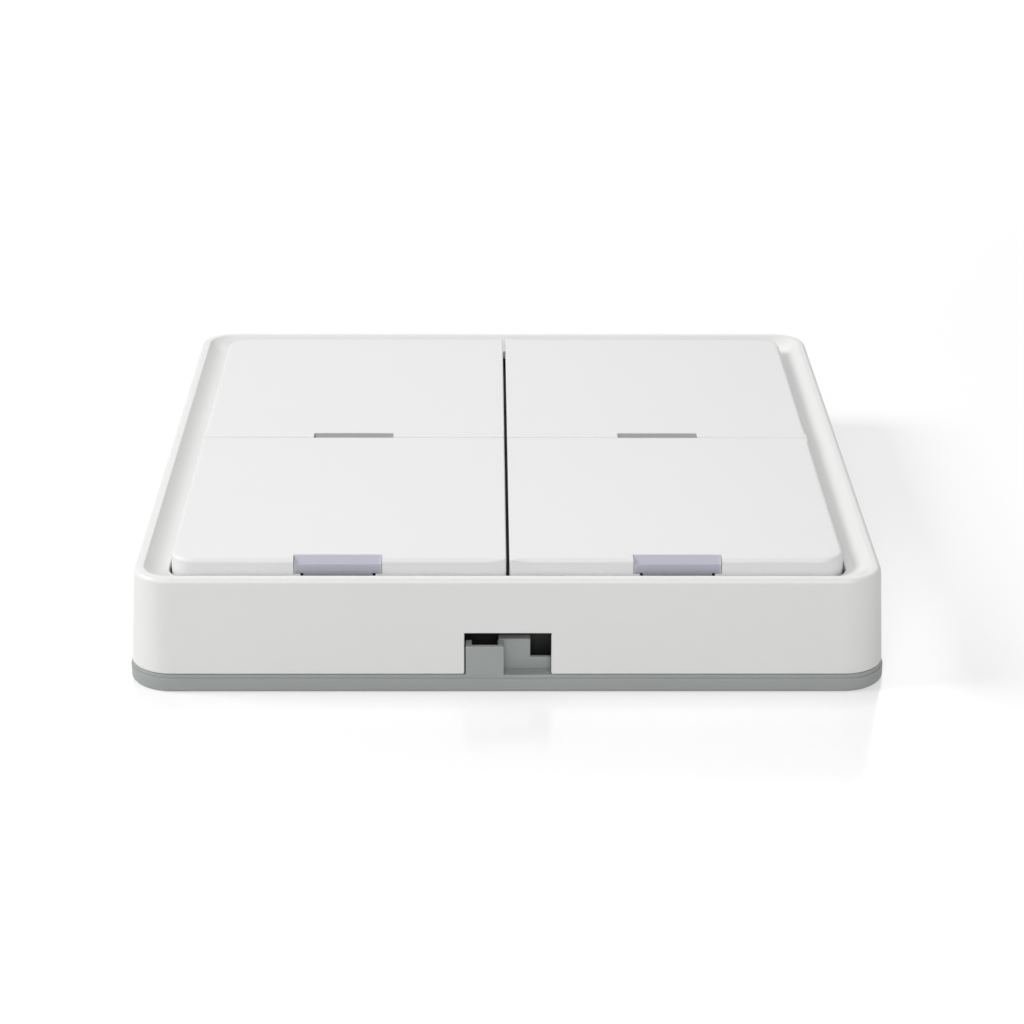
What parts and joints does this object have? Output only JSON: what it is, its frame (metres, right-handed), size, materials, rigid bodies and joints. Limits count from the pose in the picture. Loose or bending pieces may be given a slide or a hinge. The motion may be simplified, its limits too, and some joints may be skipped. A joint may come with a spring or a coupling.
{
  "type": "smart light switch",
  "caption": "Square battery wall switch with flat tilting keys in a coved white frame, a light window in each key's lower edge, and a grey back plate with a pry notch.",
  "frame": {"origin": "middle of the back plate's back face, which lies on the wall", "axes": "+Z out of the wall, +X to the right and +Y up as seen on the wall; the pry notch is at -Y"},
  "size_m": [0.086, 0.086, 0.0142],
  "materials": {
    "white_shell": "satin white moulded plastic",
    "key_plastic": "satin white moulded plastic",
    "grey_plastic": "fine-textured grey moulded plastic",
    "light_guide": "milky blue-grey translucent plastic",
    "carrier_plastic": "matt black moulded plastic",
    "dark_plastic": "matt black moulded plastic",
    "holder_plastic": "black heat-proof plastic",
    "tact_plastic": "black moulded plastic",
    "plunger_plastic": "natural moulded plastic",
    "lamp_resin": "pale yellow resin in a white case",
    "foam_tape": "white foam tape",
    "board_laminate": "green solder resist on laminate",
    "module_laminate": "blue solder resist on laminate",
    "chip_ceramic": "black glazed chip",
    "sheet_steel": "tin-plated steel sheet",
    "cell_steel": "brushed nickel-plated steel",
    "contact_metal": "nickel-plated spring strip",
    "tinned_metal": "tinned leads",
    "screw_steel": "zinc-plated steel",
    "gold_plating": "gold-plated copper"
  },
  "bodies": {
    "base": {"base_plate": "grey_plastic", "adhesive_pads": "foam_tape"},
    "switch_unit": {"front_frame": "white_shell", "key_carrier": "carrier_plastic", "rear_cover": "dark_plastic", "circuit_board": "board_laminate", "switch_terminals": "tinned_metal", "board_resistors": "chip_ceramic", "radio_module": "module_laminate", "radio_shield": "sheet_steel", "antenna_trace": "gold_plating", "battery_holder": "holder_plastic", "coin_cell": "cell_steel", "contact_minus": "contact_metal", "contact_plus": "contact_metal", "case_screws": "screw_steel", "tact_body_upper_left": "tact_plastic", "tact_cover_upper_left": "sheet_steel", "indicator_lamp_upper_left": "lamp_resin", "tact_body_upper_right": "tact_plastic", "tact_cover_upper_right": "sheet_steel", "indicator_lamp_upper_right": "lamp_resin", "tact_body_lower_left": "tact_plastic", "tact_cover_lower_left": "sheet_steel", "indicator_lamp_lower_left": "lamp_resin", "tact_body_lower_right": "tact_plastic", "tact_cover_lower_right": "sheet_steel", "indicator_lamp_lower_right": "lamp_resin"},
    "key_upper_left": {"key_upper_left": "key_plastic", "light_guide_upper_left": "light_guide"},
    "plunger_upper_left": {"tact_plunger_upper_left": "plunger_plastic"},
    "key_upper_right": {"key_upper_right": "key_plastic", "light_guide_upper_right": "light_guide"},
    "plunger_upper_right": {"tact_plunger_upper_right": "plunger_plastic"},
    "key_lower_left": {"key_lower_left": "key_plastic", "light_guide_lower_left": "light_guide"},
    "plunger_lower_left": {"tact_plunger_lower_left": "plunger_plastic"},
    "key_lower_right": {"key_lower_right": "key_plastic", "light_guide_lower_right": "light_guide"},
    "plunger_lower_right": {"tact_plunger_lower_right": "plunger_plastic"}
  },
  "joints": [
    {"name": "unit_lift", "type": "slide", "parent": "base", "child": "switch_unit", "axis": [0, 0, 1], "range_m": [0, 0.012]},
    {"name": "key_upper_left_tilt", "type": "hinge", "parent": "switch_unit", "child": "key_upper_left", "pos_m": [-0.01919, 0.0347, 0.0111], "axis": [1, 0, 0], "range_deg": [0, 0.9], "stiffness_Nm_per_rad": 1.2, "springref_deg": -0.23},
    {"name": "plunger_upper_left_travel", "type": "slide", "parent": "switch_unit", "child": "plunger_upper_left", "axis": [0, 0, -1], "range_m": [0, 0.00025]},
    {"name": "key_upper_right_tilt", "type": "hinge", "parent": "switch_unit", "child": "key_upper_right", "pos_m": [0.01919, 0.0347, 0.0111], "axis": [1, 0, 0], "range_deg": [0, 0.9], "stiffness_Nm_per_rad": 1.2, "springref_deg": -0.23},
    {"name": "plunger_upper_right_travel", "type": "slide", "parent": "switch_unit", "child": "plunger_upper_right", "axis": [0, 0, -1], "range_m": [0, 0.00025]},
    {"name": "key_lower_left_tilt", "type": "hinge", "parent": "switch_unit", "child": "key_lower_left", "pos_m": [-0.01919, -0.0033, 0.0111], "axis": [1, 0, 0], "range_deg": [0, 0.9], "stiffness_Nm_per_rad": 1.2, "springref_deg": -0.23},
    {"name": "plunger_lower_left_travel", "type": "slide", "parent": "switch_unit", "child": "plunger_lower_left", "axis": [0, 0, -1], "range_m": [0, 0.00025]},
    {"name": "key_lower_right_tilt", "type": "hinge", "parent": "switch_unit", "child": "key_lower_right", "pos_m": [0.01919, -0.0033, 0.0111], "axis": [1, 0, 0], "range_deg": [0, 0.9], "stiffness_Nm_per_rad": 1.2, "springref_deg": -0.23},
    {"name": "plunger_lower_right_travel", "type": "slide", "parent": "switch_unit", "child": "plunger_lower_right", "axis": [0, 0, -1], "range_m": [0, 0.00025]}
  ],
  "couplings": [
    {"joint": "plunger_upper_left_travel", "follows": "key_upper_left_tilt", "m_per_rad": 0.0157},
    {"joint": "plunger_upper_right_travel", "follows": "key_upper_right_tilt", "m_per_rad": 0.0157},
    {"joint": "plunger_lower_left_travel", "follows": "key_lower_left_tilt", "m_per_rad": 0.0157},
    {"joint": "plunger_lower_right_travel", "follows": "key_lower_right_tilt", "m_per_rad": 0.0157}
  ]
}
